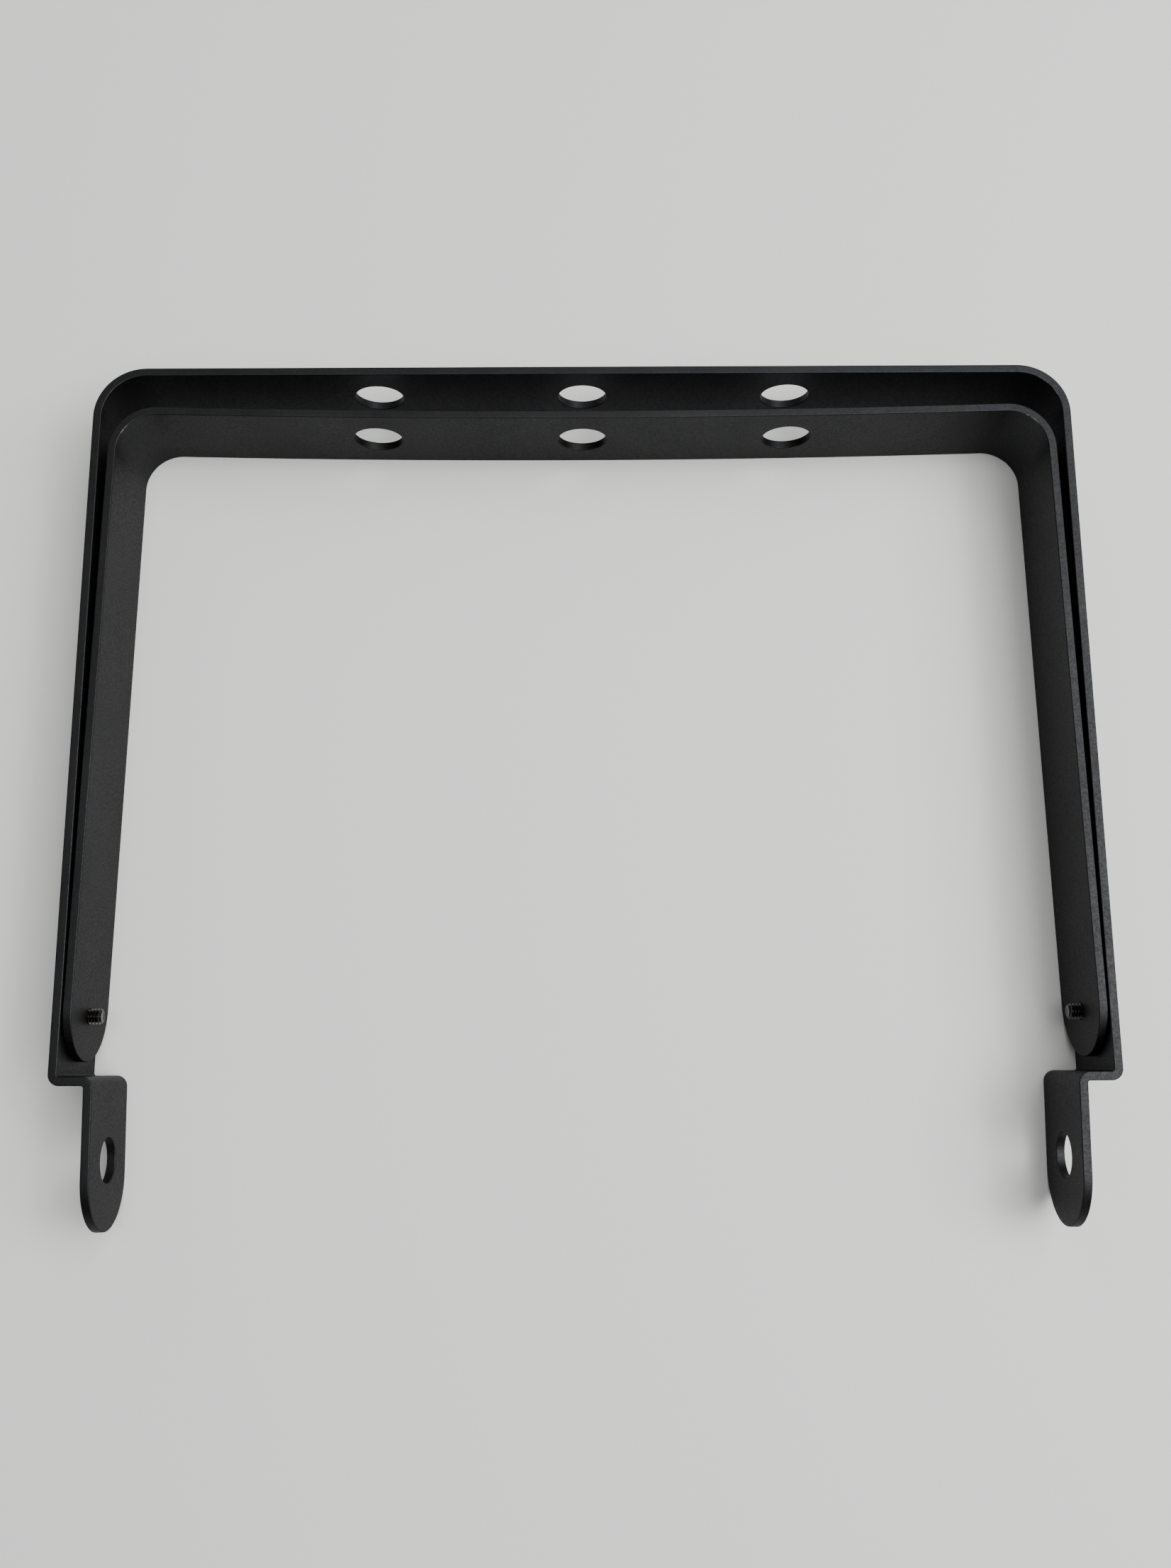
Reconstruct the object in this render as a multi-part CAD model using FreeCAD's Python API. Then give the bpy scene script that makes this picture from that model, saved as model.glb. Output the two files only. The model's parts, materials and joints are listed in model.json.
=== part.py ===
# CPU holder: a swinging inner yoke carried inside a wider outer yoke. Both are bent from one flat
# steel bar each, and two machine screws are the pivots.
#
# Units are millimetres, and +Z is up. The bars stand on their long edges: the bar's width runs along
# Z, the two webs are at +Y and the open ends at -Y. X = 0 is the plane of symmetry. The origin is at
# the middle of the footprint, level with the lower edges of the bars.
import FreeCAD, Part
import math
import os

# Flat bar
BAR_WIDTH = 42.0
BAR_THICKNESS = 3.5

# Outer yoke, over its outer faces. The lugs at the ends of its legs toe in.
OUTER_WIDTH = 410.0
OUTER_DEPTH = 351.5
OUTER_LEG_LENGTH = 295.8
OUTER_CORNER_INSIDE_RADIUS = 18.0
JOGGLE_INSET = 13.7
JOGGLE_INSIDE_RADIUS = 1.0
LUG_TOE_IN_DEGREES = 1.7
LUG_HOLE_DIAMETER = 17.5
LUG_HOLE_FROM_TIP = 26.9

# Inner yoke. Its legs splay outwards, so that they run closest to the outer legs at the pivots.
# Its web is bowed inwards; the bow's depth is from its corners to where its straight ends would meet.
WEB_GAP_AT_CORNERS = 13.5
INNER_DEPTH = 269.9
INNER_WIDTH_AT_WEB = 395.8
LEG_TIP_GAP = 0.3
INNER_CORNER_INSIDE_RADIUS = 16.0
WEB_BOW_DEPTH = 5.3
WEB_BOW_RADIUS = 6450.0

# Three round holes in each web, in line with one another
WEB_HOLE_DIAMETER = 20.8
WEB_HOLE_PITCH = 88.3
WEB_HOLES_EACH_SIDE = 1

# Pivots: 1/4 inch button head socket screws, 1/2 inch long under the head. They pass through a plain
# hole in the outer leg and hold in a threaded hole in the inner leg.
PIVOT_FROM_INNER_TIP = 17.8
SCREW_DIAMETER = 6.25
PLAIN_HOLE_DIAMETER = 6.40
THREADED_HOLE_DIAMETER = 6.35
SCREW_LENGTH = 12.7
SCREW_END_CHAMFER = 0.7
HEAD_DIAMETER = 11.1
HEAD_HEIGHT = 3.35
HEAD_RIM_HEIGHT = 0.5
HEAD_FLAT_DIAMETER = 5.4
SOCKET_ACROSS_FLATS = 3.97
SOCKET_DEPTH = 2.2

# Places worked out from the sizes above
HALF_THICKNESS = BAR_THICKNESS / 2
MID_HEIGHT = BAR_WIDTH / 2
END_RADIUS = BAR_WIDTH / 2
OUTER_WEB_Y = OUTER_DEPTH / 2
OUTER_TIP_Y = -OUTER_DEPTH / 2
LEDGE_Y = OUTER_WEB_Y - OUTER_LEG_LENGTH
LUG_HOLE_Y = OUTER_TIP_Y + LUG_HOLE_FROM_TIP
INNER_WEB_Y = OUTER_WEB_Y - BAR_THICKNESS - WEB_GAP_AT_CORNERS
INNER_TIP_Y = INNER_WEB_Y - INNER_DEPTH
PIVOT_Y = INNER_TIP_Y + PIVOT_FROM_INNER_TIP
OUTER_FACE_X = OUTER_WIDTH / 2

# Tools are this much longer than what they cut
OVERSIZE = 20.0


def vector(x, y, z=0.0):
    return FreeCAD.Vector(x, y, z)


def mirrored_outline(half):
    """The corner points of one half of a symmetrical bar, tip first, then their mirror images."""
    return half + [vector(-p.x, p.y) for p in reversed(half)]


def beyond(point, corner):
    """A point OVERSIZE further from the corner than the given point, in line with them both."""
    return point + (point - corner).normalize() * OVERSIZE


def offset_line(start, end, offset):
    """A point on the straight run from start to end moved sideways, and the direction of the run."""
    along = (end - start).normalize()
    sideways = vector(-along.y, along.x)
    return start + sideways * offset, along


def crossing(line_a, line_b):
    """The point where two lines in the XY plane cross."""
    point_a, along_a = line_a
    point_b, along_b = line_b
    between = point_b - point_a
    steps = between.cross(along_b).z / along_a.cross(along_b).z
    return point_a + along_a * steps


def face_edges(corners, inside_radii, offset):
    """The edges of one face of a bent bar, as seen from above: straight runs joined by tangent arcs.

    corners are the points of the bar's middle line and offset is the distance from it to the face.
    """
    lines = [offset_line(a, b, offset) for a, b in zip(corners, corners[1:])]
    edges = []
    here = lines[0][0]
    for before, after, inside_radius in zip(lines, lines[1:], inside_radii):
        corner = crossing(before, after)
        turn = math.atan2(before[1].cross(after[1]).z, before[1].dot(after[1]))
        # a face on the inside of the turn has the smaller radius
        radius = inside_radius + HALF_THICKNESS - math.copysign(offset, turn * offset)
        setback = radius * math.tan(abs(turn) / 2)
        arc_start = corner - before[1] * setback
        arc_end = corner + after[1] * setback
        sag = radius * (1 / math.cos(turn / 2) - 1)
        towards_centre = (after[1] - before[1]).normalize()
        edges.append(Part.makeLine(here, arc_start))
        edges.append(Part.Arc(arc_start, corner + towards_centre * sag, arc_end).toShape())
        here = arc_end
    last_point, last_along = lines[-1]
    run = (corners[-1] - corners[-2]).Length
    edges.append(Part.makeLine(here, last_point + last_along * run))
    return edges


def bent_bar(corners, inside_radii):
    """A flat bar on edge, bent along its middle line."""
    near = face_edges(corners, inside_radii, HALF_THICKNESS)
    far = face_edges(corners, inside_radii, -HALF_THICKNESS)
    start_cap = Part.makeLine(near[0].firstVertex().Point, far[0].firstVertex().Point)
    end_cap = Part.makeLine(near[-1].lastVertex().Point, far[-1].lastVertex().Point)
    outline = Part.Wire(Part.__sortEdges__(near + far + [start_cap, end_cap]))
    return Part.Face(outline).extrude(vector(0, 0, BAR_WIDTH))


def rounded_ends(tip_y):
    """A slab across the whole width whose side view ends in a half round at tip_y."""
    centre_y = tip_y + END_RADIUS
    back_y = OUTER_WEB_Y + OVERSIZE
    bottom = Part.makeLine(vector(0, back_y, 0), vector(0, centre_y, 0))
    lower = vector(0, centre_y, 0)
    upper = vector(0, centre_y, BAR_WIDTH)
    tip = Part.Arc(lower, vector(0, tip_y, MID_HEIGHT), upper).toShape()
    top = Part.makeLine(upper, vector(0, back_y, BAR_WIDTH))
    back = Part.makeLine(vector(0, back_y, BAR_WIDTH), vector(0, back_y, 0))
    width = OUTER_WIDTH + OVERSIZE
    slab = Part.Face(Part.Wire([bottom, tip, top, back])).extrude(vector(width, 0, 0))
    slab.translate(vector(-width / 2, 0, 0))
    return slab


def cross_drill(diameter, y):
    """A drill along X through both legs of a yoke at mid height."""
    length = OUTER_WIDTH + OVERSIZE
    return Part.makeCylinder(diameter / 2, length, vector(-length / 2, y, MID_HEIGHT), vector(1, 0, 0))


def web_drills(web_y):
    """The drills along Y for one web, whose outer face is at web_y."""
    start_y = web_y - BAR_THICKNESS - OVERSIZE / 4
    length = BAR_THICKNESS + OVERSIZE / 2
    drills = []
    for place in range(-WEB_HOLES_EACH_SIDE, WEB_HOLES_EACH_SIDE + 1):
        start = vector(place * WEB_HOLE_PITCH, start_y, MID_HEIGHT)
        drills.append(Part.makeCylinder(WEB_HOLE_DIAMETER / 2, length, start, vector(0, 1, 0)))
    return drills


def outer_frame():
    """The wider yoke. Each leg steps inwards at its end and carries on as a lug with a round hole."""
    leg_x = OUTER_FACE_X - HALF_THICKNESS
    ledge_y = LEDGE_Y + HALF_THICKNESS
    lug_corner = vector(leg_x - JOGGLE_INSET, ledge_y)
    toe_in = (ledge_y - OUTER_TIP_Y) * math.tan(math.radians(LUG_TOE_IN_DEGREES))
    lug_tip = vector(lug_corner.x - toe_in, OUTER_TIP_Y)
    corners = mirrored_outline(
        [
            beyond(lug_tip, lug_corner),
            lug_corner,
            vector(leg_x, ledge_y),
            vector(leg_x, OUTER_WEB_Y - HALF_THICKNESS),
        ]
    )
    half_radii = [JOGGLE_INSIDE_RADIUS, JOGGLE_INSIDE_RADIUS, OUTER_CORNER_INSIDE_RADIUS]
    bar = bent_bar(corners, half_radii + half_radii[::-1])
    bar = bar.common(rounded_ends(OUTER_TIP_Y))
    drills = web_drills(OUTER_WEB_Y)
    drills.append(cross_drill(LUG_HOLE_DIAMETER, LUG_HOLE_Y))
    drills.append(cross_drill(PLAIN_HOLE_DIAMETER, PIVOT_Y))
    return bar.cut(drills)


def inner_frame():
    """The narrower yoke, nested in the outer one."""
    tip = vector(OUTER_FACE_X - BAR_THICKNESS - LEG_TIP_GAP - HALF_THICKNESS, INNER_TIP_Y)
    web_corner = vector(INNER_WIDTH_AT_WEB / 2 - HALF_THICKNESS, INNER_WEB_Y - HALF_THICKNESS)
    corners = mirrored_outline([beyond(tip, web_corner), web_corner])
    corners.insert(2, vector(0, web_corner.y - WEB_BOW_DEPTH))
    bar = bent_bar(corners, [INNER_CORNER_INSIDE_RADIUS, WEB_BOW_RADIUS, INNER_CORNER_INSIDE_RADIUS])
    bar = bar.common(rounded_ends(INNER_TIP_Y))
    drills = web_drills(INNER_WEB_Y)
    drills.append(cross_drill(THREADED_HOLE_DIAMETER, PIVOT_Y))
    return bar.cut(drills)


def pivot_screw():
    """The right-hand pivot screw. Its head bears on the outer leg and its tip points inwards.

    It is turned about the pivot axis from its half section, with x measured along the screw.
    """
    tip_x = OUTER_FACE_X - SCREW_LENGTH
    rim_x = OUTER_FACE_X + HEAD_RIM_HEIGHT
    top_x = OUTER_FACE_X + HEAD_HEIGHT
    shank = SCREW_DIAMETER / 2
    rim = HEAD_DIAMETER / 2
    flat = HEAD_FLAT_DIAMETER / 2
    # the dome is part of a sphere centred on the axis, from the rim to the edge of the flat
    centre_x = (top_x**2 + flat**2 - rim_x**2 - rim**2) / (2 * (top_x - rim_x))
    dome_radius = math.hypot(rim_x - centre_x, rim)
    half_way = (math.atan2(rim, rim_x - centre_x) + math.atan2(flat, top_x - centre_x)) / 2
    middle_x = centre_x + dome_radius * math.cos(half_way)
    dome_middle = vector(middle_x, dome_radius * math.sin(half_way))
    below_dome = [
        vector(top_x, 0),
        vector(tip_x, 0),
        vector(tip_x, shank - SCREW_END_CHAMFER),
        vector(tip_x + SCREW_END_CHAMFER, shank),
        vector(OUTER_FACE_X, shank),
        vector(OUTER_FACE_X, rim),
        vector(rim_x, rim),
    ]
    edges = [Part.makeLine(a, b) for a, b in zip(below_dome, below_dome[1:])]
    edges.append(Part.Arc(vector(rim_x, rim), dome_middle, vector(top_x, flat)).toShape())
    edges.append(Part.makeLine(vector(top_x, flat), vector(top_x, 0)))
    screw = Part.Face(Part.Wire(edges)).revolve(vector(0, 0), vector(1, 0), 360)
    screw = screw.cut(hexagonal_socket(top_x))
    screw.translate(vector(0, PIVOT_Y, MID_HEIGHT))
    return screw


def hexagonal_socket(top_x):
    """The key socket in a head whose top is at top_x, on the X axis."""
    corner_radius = SOCKET_ACROSS_FLATS / math.sqrt(3)
    floor_x = top_x - SOCKET_DEPTH
    corners = []
    for side in range(7):
        angle = math.radians(60 * side)
        y = corner_radius * math.cos(angle)
        z = corner_radius * math.sin(angle)
        corners.append(vector(floor_x, y, z))
    return Part.Face(Part.makePolygon(corners)).extrude(vector(SOCKET_DEPTH + OVERSIZE, 0, 0))


def turned_to_left(shape):
    """A copy of a right-hand piece, turned half round the vertical line through the pivot axis."""
    copy = shape.copy()
    copy.rotate(vector(0, PIVOT_Y, 0), vector(0, 0, 1), 180)
    return copy


def main():
    right_screw = pivot_screw()
    pieces = {
        "outer_frame": outer_frame(),
        "inner_frame": inner_frame(),
        "pivot_screw_right": right_screw,
        "pivot_screw_left": turned_to_left(right_screw),
    }
    os.makedirs("parts", exist_ok=True)
    for name, shape in pieces.items():
        solid = shape.Solids[0]
        box = solid.BoundBox
        print(
            f"{name}: {len(shape.Solids)} solid, valid {solid.isValid()},"
            f" {solid.Volume / 1000:.2f} cm3,"
            f" x {box.XMin:.2f} to {box.XMax:.2f}, y {box.YMin:.2f} to {box.YMax:.2f},"
            f" z {box.ZMin:.2f} to {box.ZMax:.2f}"
        )
        solid.exportStep(f"parts/{name}.step")


main()
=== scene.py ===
import json
import math

import bmesh
import bpy
from mathutils import Matrix, Vector
from mathutils.geometry import delaunay_2d_cdt


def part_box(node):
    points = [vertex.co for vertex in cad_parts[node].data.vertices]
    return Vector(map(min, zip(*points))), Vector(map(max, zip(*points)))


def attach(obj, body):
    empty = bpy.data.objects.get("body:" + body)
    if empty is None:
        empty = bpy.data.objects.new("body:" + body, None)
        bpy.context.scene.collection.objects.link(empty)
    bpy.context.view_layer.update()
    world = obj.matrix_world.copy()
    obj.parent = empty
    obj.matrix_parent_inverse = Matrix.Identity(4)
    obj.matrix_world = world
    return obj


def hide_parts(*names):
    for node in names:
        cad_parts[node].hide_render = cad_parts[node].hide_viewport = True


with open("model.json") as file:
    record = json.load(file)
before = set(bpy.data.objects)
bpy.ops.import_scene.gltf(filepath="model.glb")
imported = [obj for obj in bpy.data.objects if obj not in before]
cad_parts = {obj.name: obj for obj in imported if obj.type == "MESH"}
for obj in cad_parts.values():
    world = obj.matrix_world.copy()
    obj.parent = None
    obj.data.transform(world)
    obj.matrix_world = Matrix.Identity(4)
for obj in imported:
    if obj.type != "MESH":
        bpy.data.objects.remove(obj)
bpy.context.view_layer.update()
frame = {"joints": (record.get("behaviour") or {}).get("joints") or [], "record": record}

# The looks of a CPU holder: two yokes of powder-coated flat steel bar, the inner one swinging on two
# screws. Everything is in metres, in the frame's own axes: the bars stand on the floor on their long
# edges.

# Sizes that the frame states
MOUNTS = {mount["name"]: mount for mount in frame["record"]["mounts"]}
PIVOT = Vector(frame["joints"][0]["pos_m"])
OUTER_LOW, OUTER_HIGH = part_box("outer_frame")
INNER_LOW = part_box("inner_frame")[0]
SCREW_LOW, SCREW_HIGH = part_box("pivot_screw_right")
BAR_WIDTH = OUTER_HIGH.z - OUTER_LOW.z
BAR_THICKNESS = MOUNTS["lug_hole_right"]["dims"]["length_mm"] / 1000

# Sizes of the bends, the holes and the edges that the frame doesn't state
OUTER_LEG_LENGTH = 0.2958
OUTER_CORNER_RADIUS = 0.018
JOGGLE_INSET = 0.0137
JOGGLE_RADIUS = 0.001
LUG_TOE_IN = math.radians(1.7)
INNER_CORNER_RADIUS = 0.016
INNER_WEB_HALF_WIDTH = 0.1979
WEB_GAP_AT_CORNERS = 0.0135
WEB_BOW_DEPTH = 0.0053
WEB_BOW_RADIUS = 6.45
LEG_TIP_GAP = 0.0003
PIVOT_HOLE_RADIUS = 0.0032
THREADED_HOLE_RADIUS = 0.00318
EDGE_RADIUS = 0.00045

# How finely the bars are meshed
EDGE_STEPS = 4
END_STEPS = 48
HOLE_STEPS = 64
DEGREES_PER_BEND_STEP = 5
STRAIGHT_STEP = 0.02

# Pivot screws: 1/4 inch, 20 threads to the inch, button head with a hexagonal socket
THREAD_PITCH = 0.00127
THREAD_DEPTH = 0.00074
THREAD_RADIUS = 0.003125
STEPS_PER_PITCH = 16
STEPS_ROUND = 96
THREAD_CREST_SHARE = 0.12
THREAD_FLANK_SHARE = 0.72
TIP_CHAMFER = 0.0008
TIP_DISH_DEPTH = 0.0002
HEAD_RIM_HEIGHT = 0.0005
HEAD_FLAT_RADIUS = 0.0027
HEAD_EDGE = 0.0002
DOME_STEPS = 14
SOCKET_ACROSS_FLATS = 0.00397
SOCKET_DEPTH = 0.0022
SOCKET_FLOOR_DIP = 0.0005
SOCKET_EDGE = 0.0001
SHARP_ANGLE = math.radians(35)

# Scuffs and painted glints on the upper inner arrises, near the bends. The light steel colour there is
# partly rubbed-through coat and partly a painted highlight. Each is (distance along the bar from its
# middle, half length).
OUTER_SCUFFS_AND_GLINTS = ((0.1965, 0.0035), (0.2045, 0.003))
INNER_SCUFFS_AND_GLINTS = ((0.1905, 0.0055), (-0.1954, 0.003))

# Camera
CAMERA_PLACE = (-0.00110, -0.11062, 0.57812)
CAMERA_PITCH = -0.19628
CAMERA_YAW = 0.00285
CAMERA_ROLL = 0.00560
CAMERA_LENS = 31.64
CAMERA_SENSOR_WIDTH = 36.0
CAMERA_CLIP = (0.01, 50.0)

# Powder coat: linear colours, noise scales per metre, and bump depth in metres
COAT_DARK = (0.0250, 0.0255, 0.0265, 1)
COAT_LIGHT = (0.0310, 0.0315, 0.0325, 1)
COAT_SPECKLE = (0.0440, 0.0445, 0.0455, 1)
COAT_GRAZING_TINT = (0.67, 0.67, 0.67, 1)
# Light steel colour of the scuffs, which also paints in the glints on the corner arrises
BARE_STEEL_AND_GLINT = (0.26, 0.255, 0.25, 1)
GRAIN_SCALE = 2600.0
PEEL_SCALE = 1250.0
CLOUD_SCALE = 28.0
SCRATCH_AND_GLINT_SCALE = 900.0
COAT_BUMP_STRENGTH = 0.55
COAT_BUMP_DEPTH = 0.00012

# Black oxide of the screws
OXIDE_DARK = (0.020, 0.019, 0.018, 1)
OXIDE_LIGHT = (0.040, 0.035, 0.030, 1)
OXIDE_PATCH_SCALE = 900.0
OXIDE_GRAIN_SCALE = 5000.0
OXIDE_BUMP_STRENGTH = 0.2
OXIDE_BUMP_DEPTH = 0.00003

# Floor and room
FLOOR_SIZE = 6.0
FLOOR_COLOUR = (0.88, 0.875, 0.86, 1)
FLOOR_ROUGHNESS = 0.7
ROOM_COLOUR = (0.95, 0.97, 1.0, 1)
ROOM_STRENGTH = 0.11


# ---------------------------------------------------------------- bent bars


class MiddleLine:
    """The middle line of a bent bar, seen from above, made of straight runs and arcs.

    Each stretch is (distance travelled, start point, start heading, curvature). Distances travelled are
    measured from the line's start, but stations and the distances given to place() from its middle.
    """

    def __init__(self, corners, inside_radii):
        headings = [math.atan2(b.y - a.y, b.x - a.x) for a, b in zip(corners, corners[1:])]
        self.stretches = []
        self.stations = []
        point = corners[0]
        travelled = 0.0
        for corner, radius, before, after in zip(corners[1:], inside_radii, headings, headings[1:]):
            turn = math.remainder(after - before, math.tau)
            middle_radius = radius + BAR_THICKNESS / 2
            tangent = math.tan(abs(turn) / 2)
            run = (corner - point).length - middle_radius * tangent
            self.stretches.append((travelled, point, before, 0.0))
            travelled += run
            arc_start = point + Vector((math.cos(before), math.sin(before))) * run
            curvature = math.copysign(1 / middle_radius, turn)
            self.stretches.append((travelled, arc_start, before, curvature))
            arc_length = middle_radius * abs(turn)
            steps = math.ceil(math.degrees(abs(turn)) / DEGREES_PER_BEND_STEP)
            self.stations += [travelled + arc_length * step / steps for step in range(steps + 1)]
            travelled += arc_length
            point = corner + Vector((math.cos(after), math.sin(after))) * middle_radius * tangent
        self.stretches.append((travelled, point, headings[-1], 0.0))
        self.length = travelled + (corners[-1] - point).length
        self.stations = [station - self.length / 2 for station in self.stations]

    def place(self, distance, offset):
        """The point at a distance along the line, moved to its left by offset."""
        travelled = distance + self.length / 2
        reached = [s for s in self.stretches if s[0] <= travelled + 1e-9 or s[0] == 0]
        start, point, heading, curvature = reached[-1]
        along = travelled - start
        if curvature == 0.0:
            here = point + Vector((math.cos(heading), math.sin(heading))) * along
        else:
            turned = heading + curvature * along
            here = point + Vector(
                (math.sin(turned) - math.sin(heading), math.cos(heading) - math.cos(turned))
            ) / curvature
            heading = turned
        return here + Vector((-math.sin(heading), math.cos(heading))) * offset


def bar_outline(length, inset):
    """The outline of the flat bar, with fully rounded ends, moved inwards by inset."""
    radius = BAR_WIDTH / 2
    reach = length / 2 - radius
    points = []
    for side in (1, -1):
        for step in range(END_STEPS + 1):
            angle = side * math.pi / 2 - math.pi * step / END_STEPS
            reduced = radius - inset
            along = side * reach + reduced * math.cos(angle)
            points.append((along, radius + reduced * math.sin(angle)))
    return points


def hole_outline(centre, radius, inset):
    """A round hole in the flat bar, widened by inset. centre is (distance along the bar, height)."""
    angles = [math.tau * step / HOLE_STEPS for step in range(HOLE_STEPS)]
    widened = radius + inset
    return [(centre[0] + widened * math.cos(a), centre[1] + widened * math.sin(a)) for a in angles]


def edge_profile():
    """(inset, offset) across the bar's edge, from face to face, with both arrises rounded."""
    half = BAR_THICKNESS / 2
    rounding = []
    for step in range(EDGE_STEPS + 1):
        angle = math.pi / 2 * step / EDGE_STEPS
        rounding.append(
            (EDGE_RADIUS * (1 - math.sin(angle)), half - EDGE_RADIUS * (1 - math.cos(angle)))
        )
    return rounding + [(inset, -offset) for inset, offset in reversed(rounding)]


def flat_bar(length, holes):
    """The bar before it is bent, as a bmesh with x along it, y from one face to the other and z up."""
    bm = bmesh.new()
    scuff_and_glint = bm.verts.layers.float.new("scuff_and_glint")
    outlines = [lambda inset: bar_outline(length, inset)]
    outlines += [lambda inset, h=hole: hole_outline(h[0], h[1], inset) for hole in holes]
    profile = edge_profile()
    face_loops = {0: [], len(profile) - 1: []}
    for outline in outlines:
        rings = []
        for number, (inset, offset) in enumerate(profile):
            ring = [bm.verts.new((x, offset, z)) for x, z in outline(inset)]
            rings.append(ring)
            if number in face_loops:
                face_loops[number].append(ring)
        for ring, following in zip(rings, rings[1:]):
            for i in range(len(ring)):
                j = (i + 1) % len(ring)
                bm.faces.new((ring[i], ring[j], following[j], following[i]))
    for loops in face_loops.values():
        fill_face(bm, loops)
    bmesh.ops.recalc_face_normals(bm, faces=bm.faces)
    return bm


def fill_face(bm, loops):
    """Fills one flat face of the bar between its outline, the first loop, and its holes, the others."""
    verts = [vert for loop in loops for vert in loop]
    owners = [number for number, loop in enumerate(loops) for vert in loop]
    edges = []
    first = 0
    for loop in loops:
        count = len(loop)
        edges += [(first + i, first + (i + 1) % count) for i in range(count)]
        first += count
    triangles_inside = 1
    filled = delaunay_2d_cdt([vert.co.xz for vert in verts], edges, [], triangles_inside, 1e-7)
    source = [originals[0] for originals in filled[3]]
    for triangle in filled[2]:
        corners = [source[i] for i in triangle]
        loops_touched = {owners[i] for i in corners}
        if loops_touched == {0} or len(loops_touched) > 1:
            bm.faces.new([verts[i] for i in corners])


def bend_bar(bm, line, scuffs_and_glints):
    """Cuts the flat bar across, marks scuffs and painted glints on its upper inner arris, and lays it
    along its middle line.
    """
    cuts = int(line.length / STRAIGHT_STEP)
    evenly = [line.length * (i / cuts - 0.5) for i in range(1, cuts)]
    for station in sorted(line.stations + evenly):
        geometry = bm.verts[:] + bm.edges[:] + bm.faces[:]
        bmesh.ops.bisect_plane(
            bm, geom=geometry, dist=1e-6, plane_co=(station, 0, 0), plane_no=(1, 0, 0)
        )
    scuff_and_glint_layer = bm.verts.layers.float["scuff_and_glint"]
    arris = EDGE_RADIUS * 0.99
    for vert in bm.verts:
        if vert.co.z > BAR_WIDTH - arris and vert.co.y < arris - BAR_THICKNESS / 2:
            nearness = [1 - abs(vert.co.x - place) / reach for place, reach in scuffs_and_glints]
            vert[scuff_and_glint_layer] = max([0.0] + nearness)
        there = line.place(vert.co.x, vert.co.y)
        vert.co = (there.x, there.y, vert.co.z)


def bent_bar(name, corners, inside_radii, hole_plan, scuffs_and_glints):
    """A finished bar. hole_plan makes the holes, ((distance, height), radius), from its length."""
    line = MiddleLine(corners, inside_radii)
    bm = flat_bar(line.length, hole_plan(line.length))
    bend_bar(bm, line, scuffs_and_glints)
    return finished_piece(name, bm)


def finished_piece(name, bm):
    """A smooth-shaded object from a bmesh, its normals led by the larger faces round each vertex."""
    mesh = bpy.data.meshes.new(name)
    bm.to_mesh(mesh)
    bm.free()
    piece = bpy.data.objects.new(name, mesh)
    bpy.context.scene.collection.objects.link(piece)
    mesh.shade_smooth()
    weighted = piece.modifiers.new("face weighted normals", "WEIGHTED_NORMAL")
    weighted.mode = "FACE_AREA"
    weighted.weight = 100
    weighted.keep_sharp = True
    return piece


def mirrored(half):
    """Corner points of the left half of a bar, tip first, followed by their mirror images."""
    return half + [Vector((-p.x, p.y)) for p in reversed(half)]


def web_holes(which):
    """The round holes of one web, as (distance along the bar, height) and radius."""
    holes = []
    for mount in MOUNTS.values():
        if mount["name"].startswith(which + "_web_hole"):
            holes.append(((mount["pos_m"][0], mount["pos_m"][2]), mount["dims"]["r_mm"] / 1000))
    return holes


def leg_holes(length, from_tip, radius):
    """One hole in each leg, at the same distance from the bar's two tips."""
    return [((side * (length / 2 - from_tip), PIVOT.z), radius) for side in (-1, 1)]


def make_outer_frame():
    half_thickness = BAR_THICKNESS / 2
    leg_x = OUTER_HIGH.x - half_thickness
    ledge_y = OUTER_HIGH.y - OUTER_LEG_LENGTH + half_thickness
    web_y = OUTER_HIGH.y - half_thickness
    lug_x = leg_x - JOGGLE_INSET
    lug_tip_x = lug_x - (ledge_y - OUTER_LOW.y) * math.tan(LUG_TOE_IN)
    corners = mirrored(
        [
            Vector((-lug_tip_x, OUTER_LOW.y)),
            Vector((-lug_x, ledge_y)),
            Vector((-leg_x, ledge_y)),
            Vector((-leg_x, web_y)),
        ]
    )
    radii = [JOGGLE_RADIUS, JOGGLE_RADIUS, OUTER_CORNER_RADIUS]
    lug_mount = MOUNTS["lug_hole_left"]
    lug_hole_from_tip = (lug_mount["pos_m"][1] - OUTER_LOW.y) / math.cos(LUG_TOE_IN)
    path_to_pivot = pivot_distance_on_outer_leg(corners, radii)

    def holes(length):
        return (
            web_holes("outer")
            + leg_holes(length, lug_hole_from_tip, lug_mount["dims"]["r_mm"] / 1000)
            + leg_holes(length, path_to_pivot, PIVOT_HOLE_RADIUS)
        )

    return bent_bar("outer_frame_bar", corners, radii + radii[::-1], holes, OUTER_SCUFFS_AND_GLINTS)


def pivot_distance_on_outer_leg(corners, radii):
    """How far along the bar the pivot hole is from the outer bar's tip, by way of the joggle."""
    line = MiddleLine(corners[:4], radii[:2])
    past_corner = PIVOT.y - corners[2].y
    return line.length - (corners[3].y - corners[2].y) + past_corner


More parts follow.
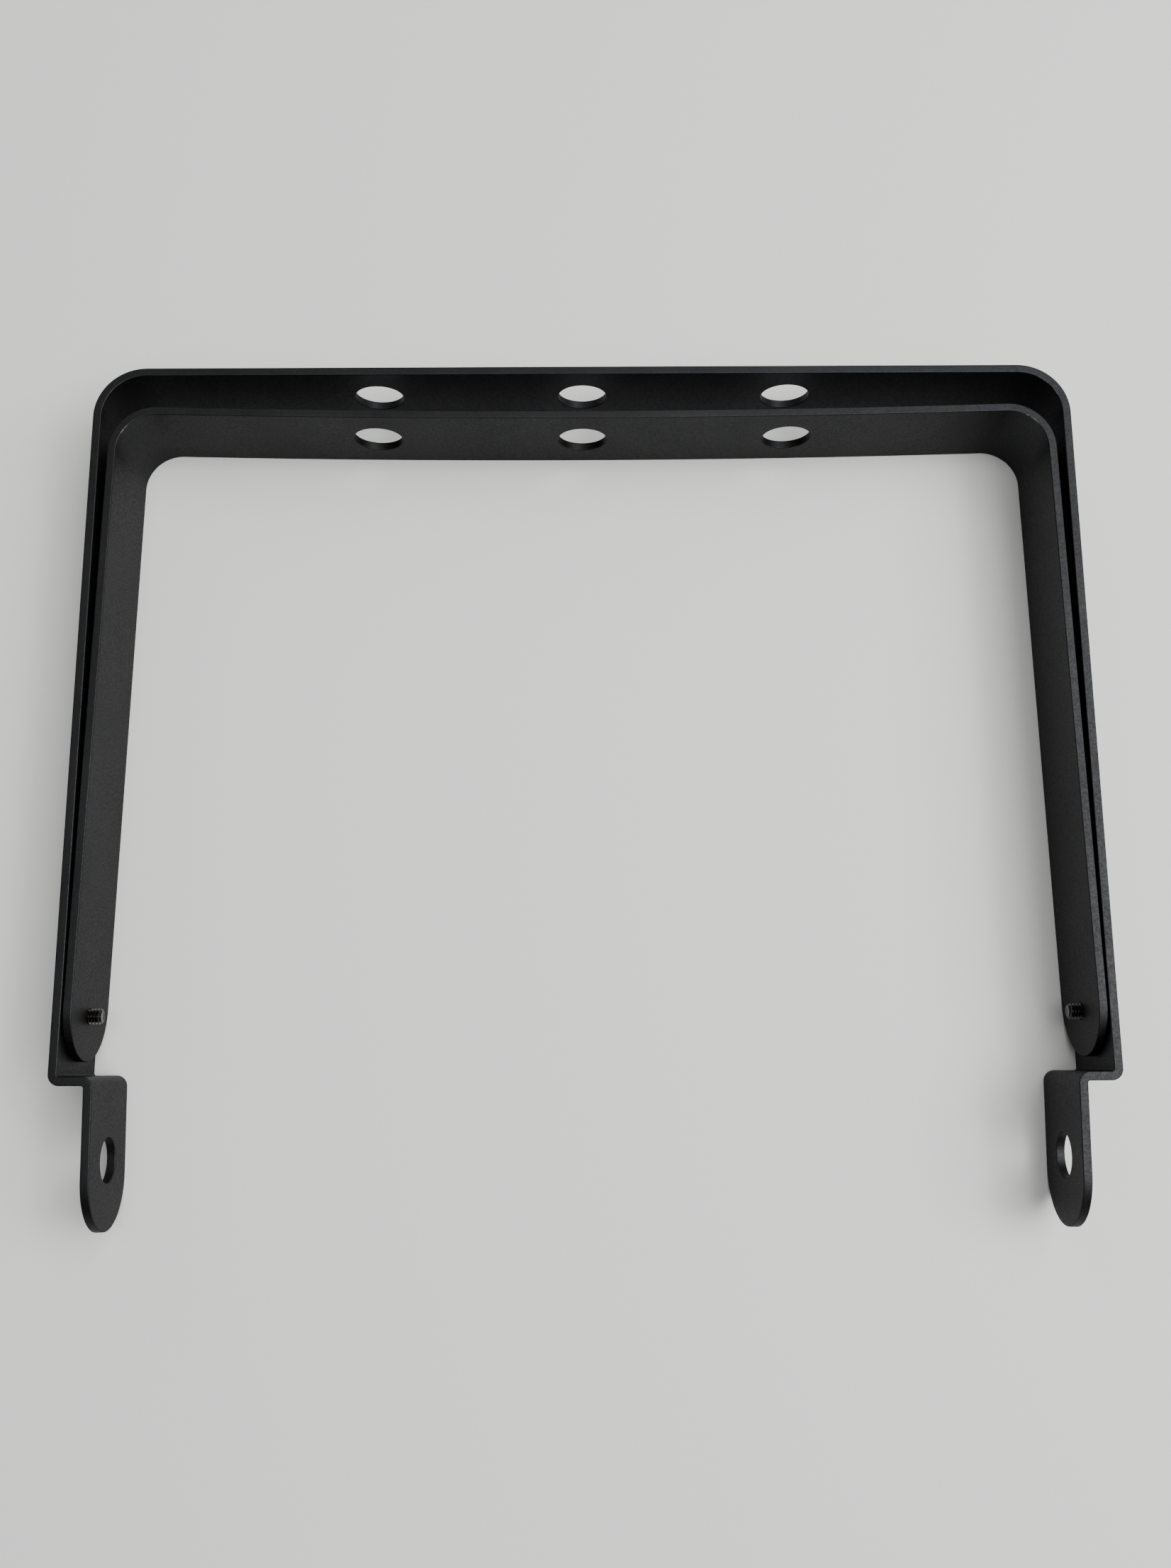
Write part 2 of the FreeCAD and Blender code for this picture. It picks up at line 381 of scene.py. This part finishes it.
def make_inner_frame():
    half_thickness = BAR_THICKNESS / 2
    tip_x = OUTER_HIGH.x - BAR_THICKNESS - LEG_TIP_GAP - half_thickness
    web_y = OUTER_HIGH.y - BAR_THICKNESS - WEB_GAP_AT_CORNERS - half_thickness
    corners = mirrored(
        [
            Vector((-tip_x, INNER_LOW.y)),
            Vector((half_thickness - INNER_WEB_HALF_WIDTH, web_y)),
        ]
    )
    corners.insert(2, Vector((0, web_y - WEB_BOW_DEPTH)))
    radii = [INNER_CORNER_RADIUS, WEB_BOW_RADIUS, INNER_CORNER_RADIUS]
    pivot_from_tip = PIVOT.y - INNER_LOW.y

    def holes(length):
        return web_holes("inner") + leg_holes(length, pivot_from_tip, THREADED_HOLE_RADIUS)

    return bent_bar("inner_frame_bar", corners, radii, holes, INNER_SCUFFS_AND_GLINTS)


# ---------------------------------------------------------------- pivot screws


def ring_angles():
    return [math.tau * step / STEPS_ROUND for step in range(STEPS_ROUND)]


def round_ring(along, radius):
    """One ring of a turned surface: (distance along the axis, radius) at each angle."""
    return [(along, radius)] * STEPS_ROUND


def hexagon_ring(along, across_flats):
    """A ring in the shape of a hexagon."""
    sixth = math.tau / 6
    return [(along, across_flats / 2 / math.cos((a % sixth) - sixth / 2)) for a in ring_angles()]


def thread_ring(along, end, runout):
    """A ring of the threaded shank: a V thread with flat crests and roots, fading out at its end."""
    ring = []
    for angle in ring_angles():
        phase = (along / THREAD_PITCH + angle / math.tau) % 1.0
        from_crest = abs(phase - 0.5) * 2
        depth = min(max((from_crest - THREAD_CREST_SHARE) / THREAD_FLANK_SHARE, 0.0), 1.0)
        radius = THREAD_RADIUS - THREAD_DEPTH * depth
        limit = THREAD_RADIUS - max(0.0, runout - abs(along - end))
        ring.append((along, min(radius, limit)))
    return ring


def screw_rings():
    """The rings of the right-hand screw, from the middle of its socket to the middle of its end face.

    Distances along the axis are x in the frame. The head bears on the outer leg's outer face.
    """
    bearing = OUTER_HIGH.x
    top = SCREW_HIGH.x
    end = SCREW_LOW.x
    rim_radius = (SCREW_HIGH.z - SCREW_LOW.z) / 2
    rings = [
        round_ring(top - SOCKET_DEPTH - SOCKET_FLOOR_DIP, 0.0),
        hexagon_ring(top - SOCKET_DEPTH, SOCKET_ACROSS_FLATS - SOCKET_EDGE),
        hexagon_ring(top - SOCKET_DEPTH + SOCKET_EDGE, SOCKET_ACROSS_FLATS),
        hexagon_ring(top - 3 * SOCKET_EDGE, SOCKET_ACROSS_FLATS),
        hexagon_ring(top - SOCKET_EDGE, SOCKET_ACROSS_FLATS + SOCKET_EDGE),
        round_ring(top, HEAD_FLAT_RADIUS - SOCKET_EDGE),
    ]
    rim_x = bearing + HEAD_RIM_HEIGHT
    across = top**2 + HEAD_FLAT_RADIUS**2 - rim_x**2 - rim_radius**2
    centre = across / (2 * (top - rim_x))
    dome_radius = math.hypot(rim_x - centre, rim_radius)
    start = math.atan2(HEAD_FLAT_RADIUS, top - centre)
    stop = math.atan2(rim_radius, rim_x - centre)
    for step in range(DOME_STEPS + 1):
        angle = start + (stop - start) * step / DOME_STEPS
        radius = min(dome_radius * math.sin(angle), rim_radius)
        rings.append(round_ring(centre + dome_radius * math.cos(angle), radius))
    rings += [
        round_ring(bearing + HEAD_EDGE, rim_radius),
        round_ring(bearing + HEAD_EDGE / 3, rim_radius - HEAD_EDGE / 3),
        round_ring(bearing, rim_radius - HEAD_EDGE),
        round_ring(bearing, THREAD_RADIUS + HEAD_EDGE),
    ]
    rows = round((bearing - end) / THREAD_PITCH * STEPS_PER_PITCH)
    for row in range(1, rows):
        rings.append(thread_ring(bearing + (end - bearing) * row / rows, end, TIP_CHAMFER))
    end_radius = THREAD_RADIUS - TIP_CHAMFER
    rings += [
        round_ring(end, end_radius),
        round_ring(end, end_radius * 0.8),
        round_ring(end + TIP_DISH_DEPTH * 0.75, end_radius * 0.6),
        round_ring(end + TIP_DISH_DEPTH, 0.0),
    ]
    return rings


def make_screw(name, side):
    """A pivot screw made as one skin of rings. side is 1 for the right and -1 for the left."""
    bm = bmesh.new()
    angles = ring_angles()
    skin = []
    for ring in screw_rings():
        if ring[0][1] == 0.0:
            skin.append([bm.verts.new((side * ring[0][0], PIVOT.y, PIVOT.z))])
            continue
        verts = []
        for angle, (along, radius) in zip(angles, ring):
            y = PIVOT.y + side * radius * math.cos(angle)
            z = PIVOT.z + radius * math.sin(angle)
            verts.append(bm.verts.new((side * along, y, z)))
        skin.append(verts)
    for ring, following in zip(skin, skin[1:]):
        for i in range(STEPS_ROUND):
            j = (i + 1) % STEPS_ROUND
            if len(ring) == 1:
                bm.faces.new((ring[0], following[i], following[j]))
            elif len(following) == 1:
                bm.faces.new((ring[i], ring[j], following[0]))
            else:
                bm.faces.new((ring[i], ring[j], following[j], following[i]))
    bmesh.ops.recalc_face_normals(bm, faces=bm.faces)
    for edge in bm.edges:
        if len(edge.link_faces) == 2 and edge.calc_face_angle() > SHARP_ANGLE:
            edge.smooth = False
    return finished_piece(name, bm)


# ---------------------------------------------------------------- materials


class Nodes:
    """A few short ways to add shader nodes to a material."""

    def __init__(self, name):
        self.material = bpy.data.materials.new(name)
        self.material.use_nodes = True
        self.tree = self.material.node_tree
        self.shader = self.tree.nodes["Principled BSDF"]

    def add(self, kind, inputs=None, **settings):
        node = self.tree.nodes.new("ShaderNode" + kind)
        for key, value in settings.items():
            setattr(node, key, value)
        for key, value in (inputs or {}).items():
            if isinstance(value, bpy.types.NodeSocket):
                self.tree.links.new(value, node.inputs[key])
            else:
                node.inputs[key].default_value = value
        return node

    def link(self, source, socket):
        self.tree.links.new(source, self.shader.inputs[socket])

    def set(self, **values):
        for socket, value in values.items():
            self.shader.inputs[socket.replace("_", " ")].default_value = value

    def noise(self, vector, scale, detail=2.0, roughness=0.5):
        node = self.add(
            "TexNoise",
            {"Vector": vector, "Scale": scale, "Detail": detail, "Roughness": roughness},
        )
        return node.outputs["Fac"]

    def spread(self, value, low, high, to_low, to_high):
        """Maps value from low..high to to_low..to_high, clamped."""
        node = self.add(
            "MapRange",
            {"Value": value, "From Min": low, "From Max": high, "To Min": to_low, "To Max": to_high},
        )
        return node.outputs["Result"]

    def bump(self, height, strength, depth):
        node = self.add("Bump", {"Strength": strength, "Distance": depth, "Height": height})
        self.link(node.outputs["Normal"], "Normal")

    def combine(self, operation, a, b):
        return self.add("Math", {0: a, 1: b}, operation=operation).outputs[0]

    def mix(self, factor, a, b):
        node = self.add("Mix", {"Factor": factor}, data_type="RGBA")
        for socket, value in (("A", a), ("B", b)):
            target = next(s for s in node.inputs if s.name == socket and s.type == "RGBA")
            if isinstance(value, bpy.types.NodeSocket):
                self.tree.links.new(value, target)
            else:
                target.default_value = value
        return next(s for s in node.outputs if s.type == "RGBA")


def powder_coat():
    """Black powder coat with a low gloss and a fine texture, light steel at the corner arrises: partly
    rubbed through, partly a painted highlight.
    """
    n = Nodes("black powder coat")
    place = n.add("TexCoord").outputs["Object"]
    grain = n.noise(place, GRAIN_SCALE, 3.0, 0.6)
    peel = n.noise(place, PEEL_SCALE, 2.0, 0.5)
    clouds = n.noise(place, CLOUD_SCALE, 4.0, 0.6)
    black = n.mix(n.spread(clouds, 0.35, 0.65, 0.0, 1.0), COAT_DARK, COAT_LIGHT)
    speckled = n.mix(n.spread(grain, 0.55, 0.75, 0.0, 1.0), black, COAT_SPECKLE)
    # Painted highlight: the light steel colour at the corner arrises stands for glints of the lights as
    # well as rubbed-through coat
    scuff_and_glint = n.add("Attribute", attribute_name="scuff_and_glint").outputs["Fac"]
    scratches_and_glints = n.spread(n.noise(place, SCRATCH_AND_GLINT_SCALE, 4.0, 0.7), 0.46, 0.60, 0.0, 0.8)
    bare_and_glint = n.combine("MULTIPLY", n.spread(scuff_and_glint, 0.15, 0.8, 0.0, 1.0), scratches_and_glints)
    colour = n.mix(bare_and_glint, speckled, BARE_STEEL_AND_GLINT)
    n.link(colour, "Base Color")
    fine_roughness = n.spread(grain, 0.3, 0.7, 0.20, 0.28)
    coarse_roughness = n.spread(peel, 0.35, 0.65, 0.18, 0.34)
    n.link(n.combine("ADD", fine_roughness, coarse_roughness), "Roughness")
    height = n.combine("ADD", n.combine("MULTIPLY", peel, 0.65), n.combine("MULTIPLY", grain, 0.35))
    n.bump(height, COAT_BUMP_STRENGTH, COAT_BUMP_DEPTH)
    # The coat is no metal. Metallic with a dark base leaves only a gloss, which the tint holds down at
    # low angles, where a plain dielectric would mirror the pale floor too brightly.
    n.set(Metallic=1.0, Specular_Tint=COAT_GRAZING_TINT)
    return n.material


def screw_black():
    """Black oxide on a steel screw: dark, slightly brown, with a low oily gloss."""
    n = Nodes("black oxide steel")
    place = n.add("TexCoord").outputs["Object"]
    patches = n.noise(place, OXIDE_PATCH_SCALE, 4.0, 0.6)
    colour = n.mix(n.spread(patches, 0.35, 0.7, 0.0, 1.0), OXIDE_DARK, OXIDE_LIGHT)
    n.link(colour, "Base Color")
    n.link(n.spread(patches, 0.3, 0.7, 0.20, 0.34), "Roughness")
    n.bump(n.noise(place, OXIDE_GRAIN_SCALE, 3.0, 0.6), OXIDE_BUMP_STRENGTH, OXIDE_BUMP_DEPTH)
    n.set(Metallic=0.9)
    return n.material


# ---------------------------------------------------------------- the object

coat = powder_coat()
oxide = screw_black()
outer_bar = make_outer_frame()
inner_bar = make_inner_frame()
left_screw = make_screw("pivot_screw_left_threaded", -1)
right_screw = make_screw("pivot_screw_right_threaded", 1)
# Each piece with the body it rides, the node it stands for, its slot and its material
PIECES = (
    (outer_bar, "outer_frame", "outer_frame", "black_powder_coat", coat),
    (inner_bar, "inner_frame", "inner_frame", "black_powder_coat", coat),
    (left_screw, "inner_frame", "pivot_screw_left", "black_screw_steel", oxide),
    (right_screw, "inner_frame", "pivot_screw_right", "black_screw_steel", oxide),
)
for piece, body, node, slot, material in PIECES:
    piece.data.materials.append(material)
    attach(piece, body)
    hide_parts(node)


# ---------------------------------------------------------------- floor, light and camera


def make_floor():
    """A plain pale floor, level with the edges that the holder stands on."""
    mesh = bpy.data.meshes.new("floor")
    half = FLOOR_SIZE / 2
    corners = [(-half, -half, 0), (half, -half, 0), (half, half, 0), (-half, half, 0)]
    mesh.from_pydata(corners, [], [(0, 1, 2, 3)])
    floor = bpy.data.objects.new("floor", mesh)
    bpy.context.scene.collection.objects.link(floor)
    n = Nodes("pale floor")
    n.set(Base_Color=FLOOR_COLOUR, Roughness=FLOOR_ROUGHNESS)
    mesh.materials.append(n.material)


def add_soft_light(name, place, target, width, height, power):
    """An area light, sized in metres and powered in watts, aimed at target. Its width is level."""
    light = bpy.data.lights.new(name, "AREA")
    light.shape = "RECTANGLE"
    light.size = width
    light.size_y = height
    light.energy = power
    lamp = bpy.data.objects.new(name, light)
    lamp.location = place
    lamp.rotation_euler = (Vector(target) - Vector(place)).to_track_quat("-Z", "Y").to_euler()
    lamp.visible_camera = False
    bpy.context.scene.collection.objects.link(lamp)


def make_lights():
    """Soft light, mostly from overhead and the right, in a dim room, so edges facing left stay dark."""
    world = bpy.data.worlds.new("dim room")
    world.use_nodes = True
    background = world.node_tree.nodes["Background"]
    background.inputs["Color"].default_value = ROOM_COLOUR
    background.inputs["Strength"].default_value = ROOM_STRENGTH
    bpy.context.scene.world = world
    middle = (0.0, 0.02, 0.0)
    add_soft_light("overhead panel", (0.05, 0.02, 2.2), middle, width=1.0, height=1.0, power=16.0)
    add_soft_light("right upper panel", (0.96, 0.10, 1.98), middle, width=3.0, height=1.0, power=40.0)
    add_soft_light("right lower panel", (1.55, 0.02, 1.56), middle, width=1.2, height=1.1, power=26.0)
    add_soft_light("back left panel", (-0.93, 1.62, 1.17), middle, width=1.2, height=1.1, power=5.0)


def make_camera():
    """Nearly overhead, over the open end, looking down past the webs' inner faces."""
    camera = bpy.data.cameras.new("camera")
    camera.lens = CAMERA_LENS
    camera.sensor_width = CAMERA_SENSOR_WIDTH
    camera.clip_start, camera.clip_end = CAMERA_CLIP
    holder = bpy.data.objects.new("camera", camera)
    turn = (
        Matrix.Rotation(CAMERA_ROLL, 3, "Z")
        @ Matrix.Rotation(CAMERA_PITCH, 3, "X")
        @ Matrix.Rotation(CAMERA_YAW, 3, "Y")
    )
    holder.matrix_world = Matrix.Translation(CAMERA_PLACE) @ turn.transposed().to_4x4()
    bpy.context.scene.collection.objects.link(holder)
    bpy.context.scene.camera = holder


make_floor()
make_lights()
make_camera()
